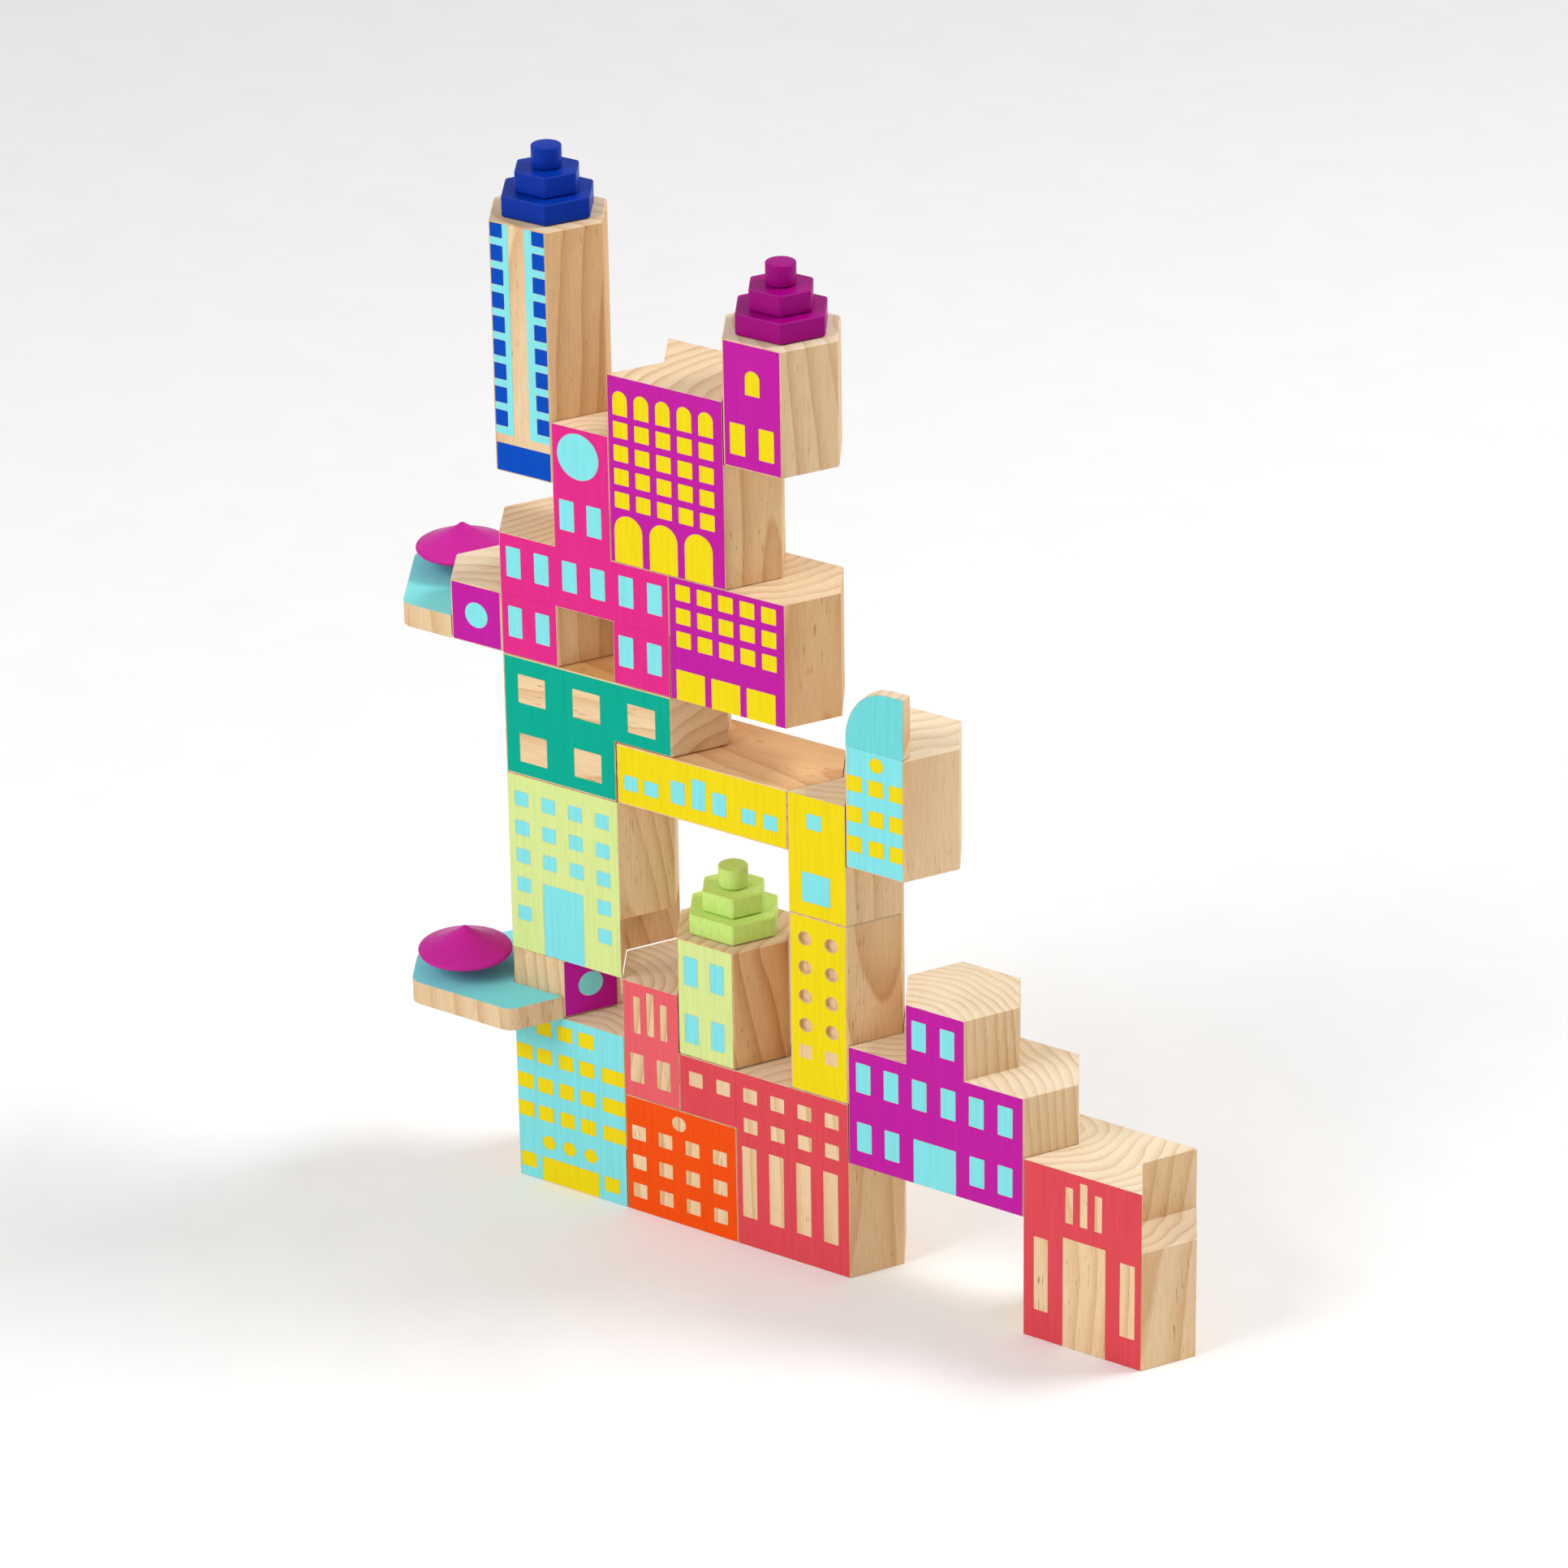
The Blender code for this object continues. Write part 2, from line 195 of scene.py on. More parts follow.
def pine(name, pith, along, ring, tone, heart_and_shade, lean):
    """Sawn pine: growth rings round a leaning pith line, finer fibres and ticks along the grain.

    ring is the width of a growth ring, and the heart-and-shade share is how far the slanted sides and the
    tops turn darker and more orange: partly heartwood, partly painted shade.
    """
    made = Nodes(name)
    where = made.add("TexCoord")
    place = where.outputs["Object"]
    seed = tuple(137.0 * (c + 1) for c in pith)

    def stretched(scale, share):
        """Coordinates with this many noise features a metre across the grain and a share of them along it."""
        return made.scaled(place, [scale * (share if axis == along else 1) for axis in "XYZ"], seed)

    coarse = {"Vector": stretched(24, 0.20), "Scale": 1.0, "Detail": 2.0}
    slow = made.add("TexNoise", coarse).outputs["Color"]
    wander = made.add("VectorMath", {0: slow, 1: (0.5, 0.5, 0.5)}, operation="SUBTRACT").outputs[0]
    wander = made.add("VectorMath", {0: wander, "Scale": 0.017}, operation="SCALE").outputs[0]
    shifted = made.scaled(place, (1, 1, 1), tuple(-c for c in pith))
    shifted = made.add("Mapping", {"Vector": shifted, "Rotation": lean}).outputs[0]
    warped = made.add("VectorMath", {0: shifted, 1: wander}, operation="ADD").outputs[0]
    rings = made.add("TexWave", {"Vector": warped, "Scale": 2 * math.pi / (20 * ring), "Distortion": 1.3,
                                 "Detail": 2.0, "Detail Scale": 0.35}, wave_type="RINGS",
                     rings_direction=along, wave_profile="SAW").outputs["Fac"]
    late = made.grey(rings, (0.0, 0.03), (0.45, 0.14), (0.80, 0.66), (0.93, 1.0), (1.0, 0.03))
    strength = made.grey(made.noise(stretched(40, 0.06), detail=1.0), (0.30, 0.45), (0.70, 1.0))
    late = made.math("MULTIPLY", late, strength)
    colour = made.mix(late, linear(WOOD_LIGHT, tone), linear(WOOD_DARK, tone))
    normal = made.add("SeparateXYZ", {0: where.outputs["Normal"]})
    sideways = made.math("LESS_THAN", made.math("ABSOLUTE", normal.outputs["Y"]), 0.9)
    # painted shade: the slanted sides and the tops turn darker and more orange, partly heartwood
    hearted_and_shaded = made.mix(late, linear(HEART_AND_SHADE_LIGHT, tone), linear(HEART_AND_SHADE_DARK, tone))
    patch = made.grey(made.noise(stretched(34, 0.10), detail=1.0), (0.30, heart_and_shade * 0.55), (0.66, heart_and_shade))
    colour = made.mix(made.math("MULTIPLY", sideways, patch), colour, hearted_and_shaded)
    # faces across the grain turn paler: paler end grain, and painted skylight on the upright blocks' tops
    end = made.math("GREATER_THAN", made.math("ABSOLUTE", normal.outputs[along]), 0.7)
    pale_end_and_skylight = made.mix(late, linear(END_SKYLIT_LIGHT, tone), linear(END_SKYLIT_DARK, tone))
    colour = made.mix(made.math("MULTIPLY", end, 0.85 - 0.45 * heart_and_shade), colour, pale_end_and_skylight)
    fibre = made.noise(stretched(1500, 0.06), detail=4.0, roughness=0.65)
    shade = made.ramp(fibre, (0.30, (0.90, 0.86, 0.80)), (0.62, (1.0, 1.0, 1.0)))
    colour = made.mix(1.0, colour, shade, "MULTIPLY")
    ticks = made.grey(made.noise(stretched(2300, 0.085), detail=0.0), (0.735, 0.0), (0.80, 1.0))
    crowd = made.grey(made.noise(stretched(60, 0.5), detail=0.0), (0.40, 0.0), (0.60, 0.60))
    crowd = made.math("MULTIPLY", crowd, made.math("SUBTRACT", 1.0, end))
    colour = made.mix(made.math("MULTIPLY", ticks, crowd), colour, linear(TICK))
    drift = made.noise(stretched(30, 0.10), detail=1.0)
    shade = made.ramp(drift, (0.30, (0.95, 0.92, 0.87)), (0.68, (1.0, 1.0, 1.0)))
    colour = made.mix(1.0, colour, shade, "MULTIPLY")
    made.link(colour, "Base Color")
    made.link(made.grey(fibre, (0.30, 0.66), (0.70, 0.52)), "Roughness")
    made.shader.inputs["Specular IOR Level"].default_value = 0.22
    height = made.math("ADD", made.math("MULTIPLY", late, 0.5), fibre)
    made.bump(height, 0.28, 0.00022)
    return made.material


def paint(name, colour):
    """Satin paint thin enough for the wood's upright fibres to show through it a little."""
    made = Nodes(name)
    place = made.add("TexCoord").outputs["Object"]
    fibre = made.noise(made.scaled(place, [1300 * c for c in (1, 1, 0.035)]), detail=4.0, roughness=0.6)
    broad = made.noise(made.scaled(place, [210 * c for c in (1, 1, 0.035)]), detail=2.0)
    deep = linear([c * 0.93 for c in colour])
    thin = [c + (w - c) * 0.06 for c, w in zip(colour, WOOD_LIGHT)]
    tone = made.mix(made.grey(fibre, (0.34, 0.55), (0.60, 0.0)), linear(colour), deep)
    tone = made.mix(made.grey(broad, (0.54, 0.0), (0.76, 0.40)), tone, linear(thin))
    made.link(tone, "Base Color")
    made.link(made.grey(fibre, (0.30, 0.50), (0.70, 0.37)), "Roughness")
    made.shader.inputs["Specular IOR Level"].default_value = 0.05
    made.bump(fibre, 0.20, 0.00012)
    return made.material


def lacquer(name, colour, rough):
    """Thick paint on a turned or sawn piece: fibres under it, a brushed gloss over it."""
    made = Nodes(name)
    place = made.add("TexCoord").outputs["Object"]
    fibre = made.noise(made.scaled(place, (900, 900, 260)), detail=4.0, roughness=0.6)
    broad = made.noise(made.scaled(place, (120, 120, 120)), detail=2.0)
    deep = linear([c * 0.91 for c in colour])
    tone = made.mix(made.grey(fibre, (0.36, 0.5), (0.60, 0.0)), linear(colour), deep)
    light = [min(255, c + 10) for c in colour]
    tone = made.mix(made.grey(broad, (0.45, 0.0), (0.75, 0.3)), tone, linear(light))
    made.link(tone, "Base Color")
    made.link(made.grey(fibre, (0.30, rough + 0.12), (0.70, rough)), "Roughness")
    made.shader.inputs["Specular IOR Level"].default_value = 0.09
    made.bump(fibre, 0.22, 0.00015)
    return made.material


coats = {colour: paint(colour + "_coat", value) for colour, (value, _) in PRINTS.items()}


# Flat plates of paint

def plane(corner, along):
    """An upright plane's matrix: x runs along, y is up, z points out of the facade."""
    x = Vector((*along, 0.0)).normalized()
    z = x.cross(Vector((0, 0, 1)))
    turn = Matrix((x, Vector((0, 0, 1)), z)).transposed().to_4x4()
    return Matrix.Translation((*corner, 0.0)) @ turn


FLAT = 2e-5              # how far from a plane a corner still counts as in it, in metres
FINE = 2e5               # steps a metre of the grid on which corners are matched
STRAIGHT = 0.01          # the sine of the smallest bend that is kept
MERGE = 1e-4             # corners nearer than this are one when a plate is cut, in millimetres
FACADE = plane((-ORIGIN_X, -HALF_DEPTH + GAP / 2), (1, 0))


def outline(node, face):
    """The edge loops of the node's flat faces lying in a plane, in the plane's own millimetres."""
    into = face.inverted()
    mesh = nodes[node].data
    spots = [into @ vertex.co for vertex in mesh.vertices]
    ways = {}
    for polygon in mesh.polygons:
        corners = [spots[index] for index in polygon.vertices]
        if any(abs(spot.z) > FLAT for spot in corners):
            continue
        keys = [(round(spot.x * FINE), round(spot.y * FINE)) for spot in corners]
        for start, end in zip(keys, keys[1:] + keys[:1]):
            if start != end:
                ways[(start, end)] = True
    # an edge walked both ways lies between two faces, and what is left is the outline
    following = {start: end for start, end in ways if (end, start) not in ways}
    loops = []
    while following:
        start, here = following.popitem()
        loop = [start]
        while here != start:
            loop.append(here)
            here = following.pop(here)
        loops.append(straightened([Vector((x, y)) * (MILLI / FINE) for x, y in loop]))
    return loops


def straightened(loop):
    """The loop without the points that lie on a straight run."""
    kept = []
    for index, point in enumerate(loop):
        before, after = loop[index - 1], loop[(index + 1) % len(loop)]
        if abs((point - before).normalized().cross((after - point).normalized())) > STRAIGHT:
            kept.append(point)
    return kept


def inset(loop, distance):
    """The loop with each side moved to its left by a distance in millimetres."""
    moved = []
    for index, point in enumerate(loop):
        one = (point - loop[index - 1]).normalized()
        two = (loop[(index + 1) % len(loop)] - point).normalized()
        first, second = Vector((-one.y, one.x)), Vector((-two.y, two.x))
        moved.append(point + (first + second) * (distance / max(0.2, 1 + first.dot(second))))
    return moved


def inside(point, loop):
    """Whether the point lies in the loop, by counting the sides that a line to the right crosses."""
    held = False
    for start, end in zip(loop, loop[1:] + loop[:1]):
        if (start.y > point.y) != (end.y > point.y):
            if point.x < start.x + (end.x - start.x) * (point.y - start.y) / (end.y - start.y):
                held = not held
    return held


class Shape:
    """A printed shape: its loop and its box, for quick tests."""

    def __init__(self, loop):
        self.loop = loop
        xs, ys = [p.x for p in loop], [p.y for p in loop]
        self.box = (min(xs), max(xs), min(ys), max(ys))

    def holds(self, point):
        left, right, low, high = self.box
        return left < point.x < right and low < point.y < high and inside(point, self.loop)

    def grown(self, distance):
        return Shape(inset(self.loop, -distance * MILLI))


def plate(name, colour, node, face, loops, keep=None, drop=(), join=()):
    """A thin closed plate of paint on a facade: what the shapes in keep hold, less those in drop.

    join are strips past the facade's own edge, up to the seam with a glued neighbour.
    """
    fence = [inset(loop, MARGIN * MILLI) for loop in loops]
    points, edges = [], []
    for loop in fence + [shape.loop for shape in [*(keep or ()), *drop, *join]]:
        first = len(points)
        points += loop
        edges += [(first + i, first + (i + 1) % len(loop)) for i in range(len(loop))]
    spots, _, faces, *_ = delaunay_2d_cdt(points, edges, [], 0, MERGE)
    chosen = []
    for corners in faces:
        middle = sum((spots[i] for i in corners), Vector((0, 0))) / len(corners)
        if sum(inside(middle, loop) for loop in fence) % 2 == 0 and not any(s.holds(middle) for s in join):
            continue
        if keep is not None and not any(shape.holds(middle) for shape in keep):
            continue
        if not any(shape.holds(middle) for shape in drop):
            chosen.append(tuple(corners))
    front, back, walls = {}, {}, {}
    made = bmesh.new()
    for corners in chosen:
        for i in corners:
            if i not in front:
                spot = spots[i] / MILLI
                front[i] = made.verts.new((spot.x, spot.y, FILM))
                back[i] = made.verts.new((spot.x, spot.y, -SUNK))
        made.faces.new([front[i] for i in corners])
        made.faces.new([back[i] for i in reversed(corners)])
        for start, end in zip(corners, corners[1:] + corners[:1]):
            walls[(start, end)] = True
    for start, end in walls:
        if (end, start) not in walls:
            made.faces.new([front[end], front[start], back[start], back[end]])
    bmesh.ops.recalc_face_normals(made, faces=made.faces)
    mesh = bpy.data.meshes.new(name)
    made.to_mesh(mesh)
    made.free()
    mesh.transform(face)
    mesh.materials.append(coats[colour])
    piece = bpy.data.objects.new(name, mesh)
    bpy.context.scene.collection.objects.link(piece)
    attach(piece, body_of[node])
    return piece


# Shapes, across in modules from the first column and up in storeys

def polygon(points):
    return Shape([Vector(point) * MILLI for point in points])


def box(left, right, low, high):
    """An upright window with small round corners."""
    x0, x1, y0, y1 = left * MODULE, right * MODULE, low * STOREY, high * STOREY
    points = []
    for x, y, start in ((x1, y0, -90), (x1, y1, 0), (x0, y1, 90), (x0, y0, 180)):
        cx = x - math.copysign(ROUND, x - (x0 + x1) / 2)
        cy = y - math.copysign(ROUND, y - (y0 + y1) / 2)
        for step in range(4):
            angle = math.radians(start + 30 * step)
            points.append((cx + ROUND * math.cos(angle), cy + ROUND * math.sin(angle)))
    return polygon(points)


def arch(left, right, low, high):
    """A window with a half-round head."""
    x0, x1, y0, y1 = left * MODULE, right * MODULE, low * STOREY, high * STOREY
    radius = (x1 - x0) / 2
    points = [(x0, y0), (x1, y0)]
    for step in range(19):
        angle = math.pi * step / 18
        points.append((x0 + radius + radius * math.cos(angle), y1 - radius + radius * math.sin(angle)))
    return polygon(points)


def disc(across, up, radius, sides=48):
    """A round of a radius given in modules, or a polygon of few sides."""
    x, y, reach = across * MODULE, up * STOREY, radius * MODULE
    angles = [2 * math.pi * step / sides for step in range(sides)]
    return polygon([(x + reach * math.cos(a), y + reach * math.sin(a)) for a in angles])


def row(shape, column, lefts, width, low, high):
    """One window of a width at each place across, counted from a column."""
    return [shape(column + left, column + left + width, low, high) for left in lefts]


def grid(column, lefts, width, lows, height):
    """Rows of upright windows, one row at each level."""
    return [window for low in lows for window in row(box, column, lefts, width, low, low + height)]


def steps(first, pitch, count):
    return [first + pitch * index for index in range(count)]


SEAM = 0.00004           # half the line left between two glued pieces' paint
OVERLAP = 0.0012         # how far a strip at a seam runs back over its facade
SETBACK = 0.00065        # a strip's ends, in line with the facades' own margins


def seam_strips(first, last, level=None, column=None):
    """The two strips along a seam: below and above a storey level, or left and right of a column line."""
    made = []
    for side in (-1, 1):
        if level is None:
            near, far = column * MODULE + side * SEAM, column * MODULE + side * OVERLAP
            low, high = first * STOREY + SETBACK, last * STOREY - SETBACK
            left, right = min(near, far), max(near, far)
        else:
            near, far = level * STOREY + side * SEAM, level * STOREY + side * OVERLAP
            low, high = min(near, far), max(near, far)
            left, right = first * MODULE + SETBACK, last * MODULE - SETBACK
        made.append(polygon([(left, low), (right, low), (right, high), (left, high)]))
    return made


def facade(node, colour, painted=(), bare=(), face=FACADE, join=()):
    """The block's printed coat, its bare windows left out, and its painted windows set in.

    painted is a list of (colour, shapes).
    """
    loops = outline(node, face)
    drop = list(bare)
    for tint, shapes in painted:
        plate(f"{node}_{tint}_windows", tint, node, face, loops, keep=shapes)
        drop += [shape.grown(HALO) for shape in shapes]
    plate(f"{node}_{colour}_coat", colour, node, face, loops, drop=drop, join=join)


# Blue tower: two aqua bands with royal squares, a bare stripe between them
loops = outline("blue_tower", FACADE)
squares = grid(0, (-0.1, 0.76), 0.34, steps(12.75, 0.375, 9), 0.25)
bands = [box(-0.5, 0.34, 12.62, 16.5), box(0.63, 1.5, 12.62, 16.5)]
plate("blue_tower_aqua_bands", "aqua", "blue_tower", FACADE, loops, bands, [s.grown(HALO) for s in squares])
plate("blue_tower_squares", "blue", "blue_tower", FACADE, loops, squares)
plate("blue_tower_base_band", "blue", "blue_tower", FACADE, loops, [box(-0.5, 1.5, 11.5, 12.47)])

# Pink hall, its tower and its two legs
hall_windows = grid(0, steps(0.125, 0.5, 6), 0.25, (10.30,), 0.49)
tower_windows = grid(0, (1.11, 1.59), 0.25, (11.3,), 0.49)
left_leg, right_leg = seam_strips(0, 1, level=10), seam_strips(2, 3, level=10)
facade("pink_hall", "pink", [("aqua", hall_windows + tower_windows + [disc(1.46, 12.54, 0.36, 64)])],
       join=[left_leg[1], right_leg[1]])
facade("pink_left_leg", "pink", [("aqua", grid(0, (0.13, 0.62), 0.24, (9.31,), 0.50))], join=left_leg[:1])
facade("pink_right_leg", "pink", [("aqua", grid(2, (0.10, 0.60), 0.25, (9.31,), 0.50))], join=right_leg[:1])

# Purple arcade, turret and garage
arcade = row(arch, 2, steps(0.10, 0.37, 5), 0.245, 13.38, 13.76)
arcade += grid(2, steps(0.10, 0.37, 5), 0.245, (13.02, 12.645, 12.27, 11.895), 0.25)
arcade += row(arch, 2, (0.08, 0.69, 1.30), 0.48, 11.0, 11.78)
facade("purple_arcade", "purple", [("yellow", arcade)])
turret = row(arch, 4, (0.39,), 0.24, 14.2, 14.58) + grid(4, (0.12, 0.61), 0.25, (13.22,), 0.49)
facade("purple_turret", "purple", [("yellow", turret)])
garage = grid(3, steps(0.125, 0.37, 5), 0.245, (10.64, 10.26, 9.88), 0.25)
garage += grid(3, steps(0.11, 0.61, 3), 0.49, (8.9,), 0.60)
facade("purple_garage", "purple", [("yellow", garage)])

# Teal block, bridge and the two yellow towers
facade("teal_block", "teal", bare=grid(0, steps(0.26, 0.98, 3), 0.49, (8.23,), 0.48)
       + grid(0, steps(0.26, 0.98, 2), 0.49, (7.24,), 0.48))
bridge = [box(2 + left, 2 + left + 0.24, 7.26, top) for left, top in (
    (0.13, 7.5), (0.49, 7.5), (0.96, 7.63), (1.33, 7.75), (1.69, 7.63), (2.2, 7.5), (2.58, 7.5))]
facade("yellow_bridge", "yellow", [("aqua", bridge)])
facade("yellow_upper_tower", "yellow", [("aqua", [box(5.33, 5.58, 7.46, 7.71), box(5.24, 5.72, 6.24, 6.73)])])
facade("yellow_perforated_tower", "yellow", bare=grid(5, (0.15, 0.60), 0.22, (3.58,), 0.23))

# Lime house and small tower
house = grid(0, steps(0.135, 0.485, 4), 0.24, (6.475, 5.98, 5.5), 0.245)
house += grid(0, (0.135, 1.59), 0.24, (5.01, 4.52), 0.245) + [box(0.60, 1.325, 3.9, 5.24)]
facade("lime_tall_house", "lime", [("aqua", house)])
facade("lime_small_tower", "lime", [("aqua", grid(3, (0.125, 0.59), 0.235, (4.225, 3.24), 0.49))])

# Aqua store
store = [box(left, right, 2.59, 2.84) for left, right in ((0.39, 0.66), (0.79, 1.045), (1.17, 1.44))]
for low in (2.09, 1.575, 1.075):
    store += [box(left, right, low, low + 0.25) for left, right in (
        (-0.2, 0.30), (0.39, 0.66), (0.79, 1.045), (1.17, 1.44), (1.58, 2.2))]
store += [disc(across, 0.70, 0.125, 6) for across in (0.56, 0.94, 1.335)]
store += [box(0.04, 0.31, 0.175, 0.425), box(1.58, 1.85, 0.175, 0.425), box(0.43, 1.47, -0.2, 0.425)]
facade("aqua_store", "aqua", [("yellow", store)])

# Red slit house, orange house, red hall and gate house, all with bare windows
slits = [box(2.19, 2.31, 3.125, 3.76), box(2.425, 2.556, 3.14, 3.88), box(2.67, 2.79, 3.125, 3.75)]
facade("red_slit_house", "coral", bare=slits + grid(2, (0.11, 0.59), 0.245, (2.27,), 0.50))
facade("orange_house", "orange", bare=grid(2, (0.11, 0.59, 1.08, 1.575), 0.25, (1.256, 0.74, 0.2375), 0.25)
       + [disc(2.97, 1.756, 0.125)])
wing = seam_strips(2, 3, column=4)
facade("red_hall_wing", "red", bare=grid(3, (0.17, 0.66), 0.245, (2.5,), 0.25), join=wing[:1])
facade("red_hall", "red", bare=grid(4, (0.14, 0.62, 1.10, 1.58), 0.245, (2.5, 1.98), 0.25)
       + grid(4, (0.10, 0.58, 1.06, 1.54), 0.26, (0.5,), 1.23), join=wing[1:])
gate = [box(9.71, 9.84, 2.13, 2.74), box(9.956, 10.08, 2.13, 2.87), box(10.2, 10.325, 2.13, 2.74)]
gate += [box(9.18, 9.42, 0.49, 1.74), box(10.63, 10.88, 0.49, 1.74), box(9.67, 10.39, -0.2, 1.87)]
facade("red_gate_house", "red", bare=gate)

# Purple hall
hall = grid(7, (0.106, 0.59), 0.237, (4.28,), 0.48)
hall += grid(6, (0.14, 0.62, 1.106, 1.60, 2.08, 2.57), 0.245, (3.275,), 0.495)
hall += grid(6, (0.15, 0.63, 2.09, 2.57), 0.245, (2.27,), 0.49) + [box(7.13, 7.85, 1.8, 2.76)]
facade("purple_hall", "purple", [("aqua", hall)])

# Aqua arch tower and its parapet
tower = [box(6 + left, 6 + right, low, low + 0.25) for low in (8.29, 7.79, 7.30) for left, right in (
    (-0.2, 0.275), (0.40, 0.64), (0.75, 1.2))]
brow = seam_strips(6, 7, level=9)
facade("aqua_arch_tower", "aqua", [("yellow", tower + [disc(6.53, 8.8, 0.125, 6)])], join=brow[:1])
facade("aqua_arch_parapet", "deep_aqua", join=brow[1:])

# The two disc blocks: a purple side with an aqua round, and an aqua terrace
ROOM_SIDE = SLANT - GAP
LOWER = plane((SLANT - ORIGIN_X, -HALF_DEPTH + GAP / 2), (0.5, math.sqrt(3) / 2))
UPPER = plane((-SLANT + GAP / 2 - ORIGIN_X, -HALF_DEPTH + GAP / 2), (1, 0))
SLAB = 0.0088
for block, face, storey in (("upper_disc", UPPER, 9), ("lower_disc", LOWER, 3)):
    middle = disc(ROOM_SIDE / 2 / MODULE, storey + 0.5, 0.20, 40)
    facade(block + "_room", "purple", [("aqua", [middle])], face=face)
    top = Matrix.Translation((0, 0, storey * STOREY + GAP / 2 + SLAB))
    terrace = block + "_terrace"
    plate(terrace + "_coat", "aqua", terrace, top, outline(terrace, top))


# Turned pieces, finer than their CAD solids

PEG_EDGE = 0.0005        # the round of a peg's edges
RIM = 0.0016             # how thick a cone's rim is
RIM_UP = 0.0028          # how far the rim's underside is above the cone's lowest point
FOOT = 0.005             # the radius of the cone's flat foot
HOLLOW = 1.3             # how hollow a cone's slope is; 1 is straight
TIP = ((0.0005, 0.00008), (0.0011, 0.00042))    # points of the soft tip: radius, and drop from the top


def turned(name, profile, centre, coat, node, sides=96):
    """A closed turned piece; its profile runs from the top's middle to the bottom's, as (radius, height)."""
    shell = bmesh.new()
    previous = None
    for radius, height in profile:
        if radius == 0:
            ring = [shell.verts.new((centre.x, centre.y, height))]
        else:
            ring = [shell.verts.new((centre.x + radius * math.cos(2 * math.pi * i / sides),
                                     centre.y + radius * math.sin(2 * math.pi * i / sides), height))
                    for i in range(sides)]
        if previous:
            for i in range(sides):
                j = (i + 1) % sides
                corners = [previous[i % len(previous)], previous[j % len(previous)],
                           ring[j % len(ring)], ring[i % len(ring)]]
                shell.faces.new(list(dict.fromkeys(corners)))
        previous = ring
    bmesh.ops.recalc_face_normals(shell, faces=shell.faces)
    for side in shell.faces:
        side.smooth = True
    mesh = bpy.data.meshes.new(name)
    shell.to_mesh(mesh)
    shell.free()
    mesh.set_sharp_from_angle(angle=math.radians(35))
    mesh.materials.append(coat)
    piece = bpy.data.objects.new(name, mesh)
    bpy.context.scene.collection.objects.link(piece)
    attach(piece, body_of[node])
    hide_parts(node)


def eased(radius, height, turn, out):
    """Points of a quarter round of a given turn, from the top of an edge to its side."""
    return [(radius - turn + turn * math.sin(a), height + out * (turn * math.cos(a) - turn))
            for a in (math.radians(15 * step) for step in range(7))]


def peg(node, coat):
    low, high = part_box(node)
    centre, radius = (low + high) / 2, (high.x - low.x) / 2
    top = eased(radius, high.z, PEG_EDGE, 1)
    bottom = eased(radius, low.z, PEG_EDGE, -1)[::-1]
    turned(node + "_turned", [(0, high.z), *top, *bottom, (0, low.z)], centre, coat, node)


def cone(node, coat):
    """A flat cone with a soft tip and a rounded rim, its slope a little hollow."""
    low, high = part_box(node)
    centre, radius = (low + high) / 2, (high.x - low.x) / 2
    under, turn = low.z + RIM_UP, RIM / 2
    profile = [(0, high.z)] + [(reach, high.z - drop) for reach, drop in TIP]
    rise = high.z - under - RIM
    for share in (0.12, 0.2, 0.3, 0.4, 0.5, 0.6, 0.7, 0.8, 0.9):
        profile.append((radius * share, high.z - rise * (1 - (1 - share) ** HOLLOW)))
    for step in range(9):
        angle = math.radians(70 - 20 * step)
        profile.append((radius - turn + turn * math.cos(angle), under + turn + turn * math.sin(angle)))
    profile += [(FOOT, low.z), (0, low.z)]
    turned(node + "_turned", profile, centre, coat, node)


crowns = {
    "blue_tower": (lacquer("crown_blue_coat", CROWN_BLUE, 0.34), "blue_paint"),
    "purple_turret": (lacquer("crown_magenta_coat", CROWN_MAGENTA, 0.34), "magenta_paint"),
    "lime_small_tower": (lacquer("crown_green_coat", CROWN_GREEN, 0.42), "green_paint"),
}
for tower, (coat, slot) in crowns.items():
    for part in ("base", "middle"):
        nodes[f"{tower}_crown_{part}"].data.materials[0] = coat
    peg(f"{tower}_crown_peg", coat)
cone_coat = lacquer("cone_coat", CONE_MAGENTA, 0.30)
for block in ("upper_disc", "lower_disc"):
    cone(block + "_cone", cone_coat)

# Pine: each piece is cut from a log of its own, its pith line beside the piece or under it
LENGTHWISE = ("teal_block", "yellow_bridge")
# how far each block's slanted sides and tops turn darker and more orange: partly heartwood, partly painted
# shade
HEART_AND_SHADE = {
    "blue_tower": 0.75, "purple_garage": 0.75, "purple_arcade": 0.6, "teal_block": 1.0,
    "lime_small_tower": 0.8, "yellow_perforated_tower": 0.4, "lime_tall_house": 0.35, "red_hall": 0.3,
    "pink_hall": 0.6, "pink_left_leg": 0.6, "pink_right_leg": 0.6, "yellow_bridge": 0.8,
}
wooden = [name for name in sorted(nodes) if "crown" not in name and "cone" not in name]
for number, name in enumerate(wooden):
    low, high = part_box(name)
    middle = (low + high) / 2
    angle = math.radians(GOLDEN_ANGLE * number)
    distance = PITH_NEAR + PITH_STEP * (number * 5 % 7)
    along = "X" if name in LENGTHWISE else "Z"
    if along == "Z":
        pith = (middle.x + distance * math.cos(angle), middle.y + distance * math.sin(angle), middle.z)
        lean = (LEAN * math.sin(2.3 * number), LEAN * math.cos(1.7 * number), 0.0)
    else:
        pith = tuple(middle + PITH_UNDER)
        lean = LEAN_UNDER
    ring = RING_NARROW + RING_STEP * (number * 3 % 5)
    tone = TONE_DARK + TONE_STEP * (number * 7 % 4)
    wood = pine(name + "_pine", pith, along, ring, tone, HEART_AND_SHADE.get(name, DEFAULT_HEART_AND_SHADE), lean)
    nodes[name].data.materials[0] = wood

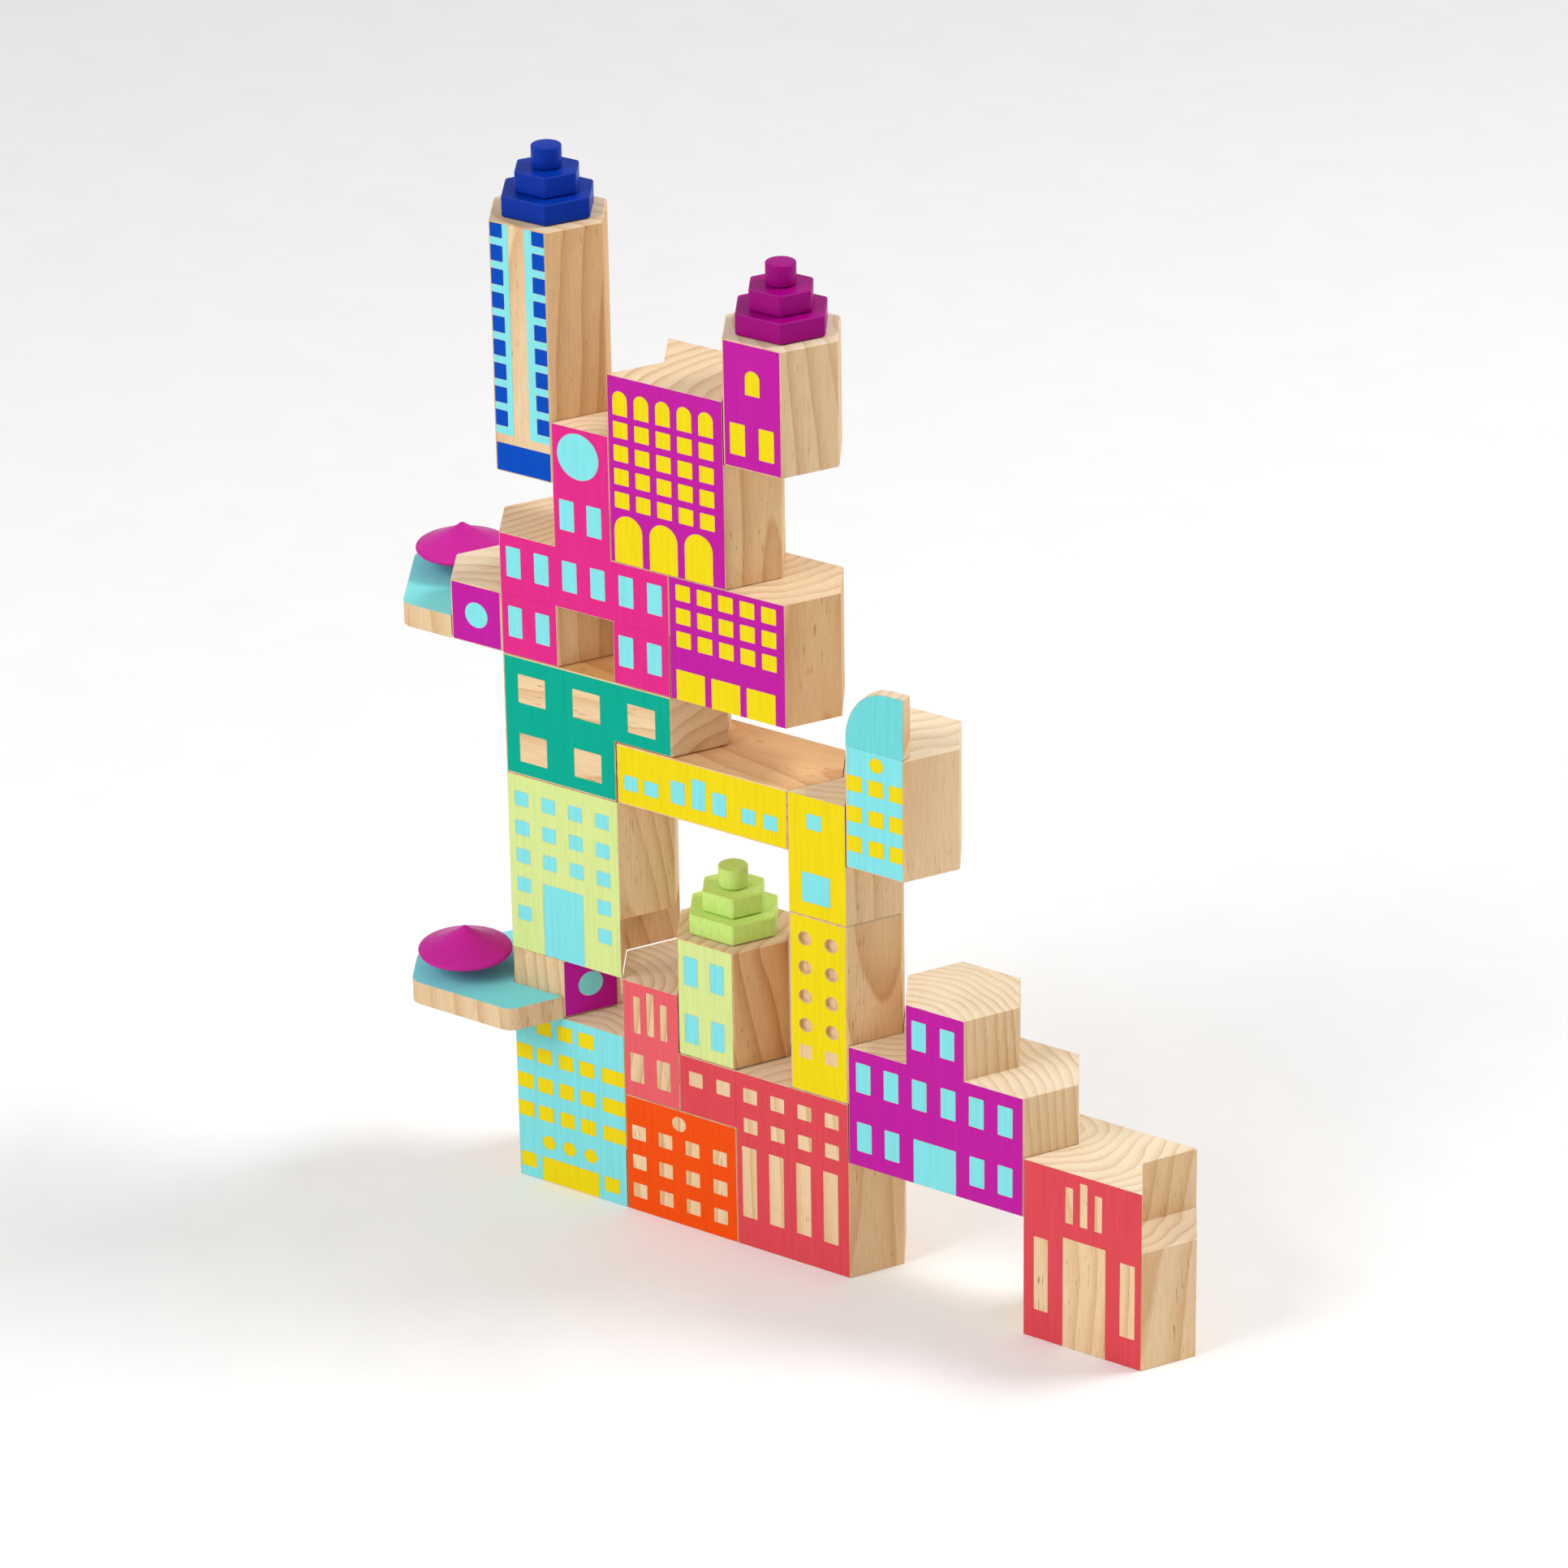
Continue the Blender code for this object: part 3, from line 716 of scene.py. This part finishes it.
# Floor, light and camera
REACH, DROP = 9.0, 0.0001                       # half the floor's width, and how far it lies below the blocks
floor_corners = [(-REACH, -REACH, 0), (REACH, -REACH, 0), (REACH, REACH, 0), (-REACH, REACH, 0)]
floor_mesh = bpy.data.meshes.new("floor")
floor_mesh.from_pydata(floor_corners, [], [(0, 1, 2, 3)])
floor = bpy.data.objects.new("floor", floor_mesh)
floor.location.z = -DROP
bpy.context.scene.collection.objects.link(floor)
paper = Nodes("floor_paper")
spread = paper.noise(paper.add("TexCoord").outputs["Object"], 30.0, 2.0)
paper.link(paper.ramp(spread, (0.3, (0.90, 0.90, 0.90)), (0.7, (0.92, 0.92, 0.92))), "Base Color")
paper.shader.inputs["Roughness"].default_value = 0.9
paper.shader.inputs["Specular IOR Level"].default_value = 0.1
floor_mesh.materials.append(paper.material)
floor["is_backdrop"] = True

world = bpy.data.worlds.new("studio")
bpy.context.scene.world = world
world.use_nodes = True
world.node_tree.nodes["Background"].inputs["Color"].default_value = (1.0, 1.0, 1.0, 1.0)
world.node_tree.nodes["Background"].inputs["Strength"].default_value = 0.56


def softbox(name, place, size, power, aim=(0.0, 0.0, 0.18)):
    light = bpy.data.lights.new(name, "AREA")
    light.shape = "SQUARE"
    light.size = size
    light.energy = power
    lamp = bpy.data.objects.new(name, light)
    lamp.location = place
    lamp.rotation_euler = (Vector(aim) - Vector(place)).to_track_quat("-Z", "Y").to_euler()
    bpy.context.scene.collection.objects.link(lamp)


softbox("key_softbox", (-0.9, -1.6, 1.5), 1.1, 25.0)
softbox("top_softbox", (0.9, 0.9, 1.7), 0.7, 21.0)

LENS, SHIFT_Y = 150.2, -0.12
AZIMUTH, ELEVATION, ROLL = (math.radians(angle) for angle in (33.48, 24.63, 0.84))
LOOK_AT, DISTANCE = Vector((-0.0181, 0.0, 0.2518)), 2.2628
back = Vector((math.sin(AZIMUTH) * math.cos(ELEVATION), -math.cos(AZIMUTH) * math.cos(ELEVATION),
               math.sin(ELEVATION)))
right = Vector((math.cos(AZIMUTH), math.sin(AZIMUTH), 0.0))
up = back.cross(right)
rolled_right = right * math.cos(ROLL) - up * math.sin(ROLL)
rolled_up = right * math.sin(ROLL) + up * math.cos(ROLL)
lens = bpy.data.cameras.new("camera")
lens.sensor_width = 36.0
lens.lens = LENS
lens.shift_y = SHIFT_Y
camera = bpy.data.objects.new("camera", lens)
camera.matrix_world = (Matrix.Translation(LOOK_AT + back * DISTANCE)
                       @ Matrix((rolled_right, rolled_up, back)).transposed().to_4x4())
bpy.context.scene.collection.objects.link(camera)
bpy.context.scene.camera = camera
bpy.context.scene.view_settings.view_transform = "Standard"

low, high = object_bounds()
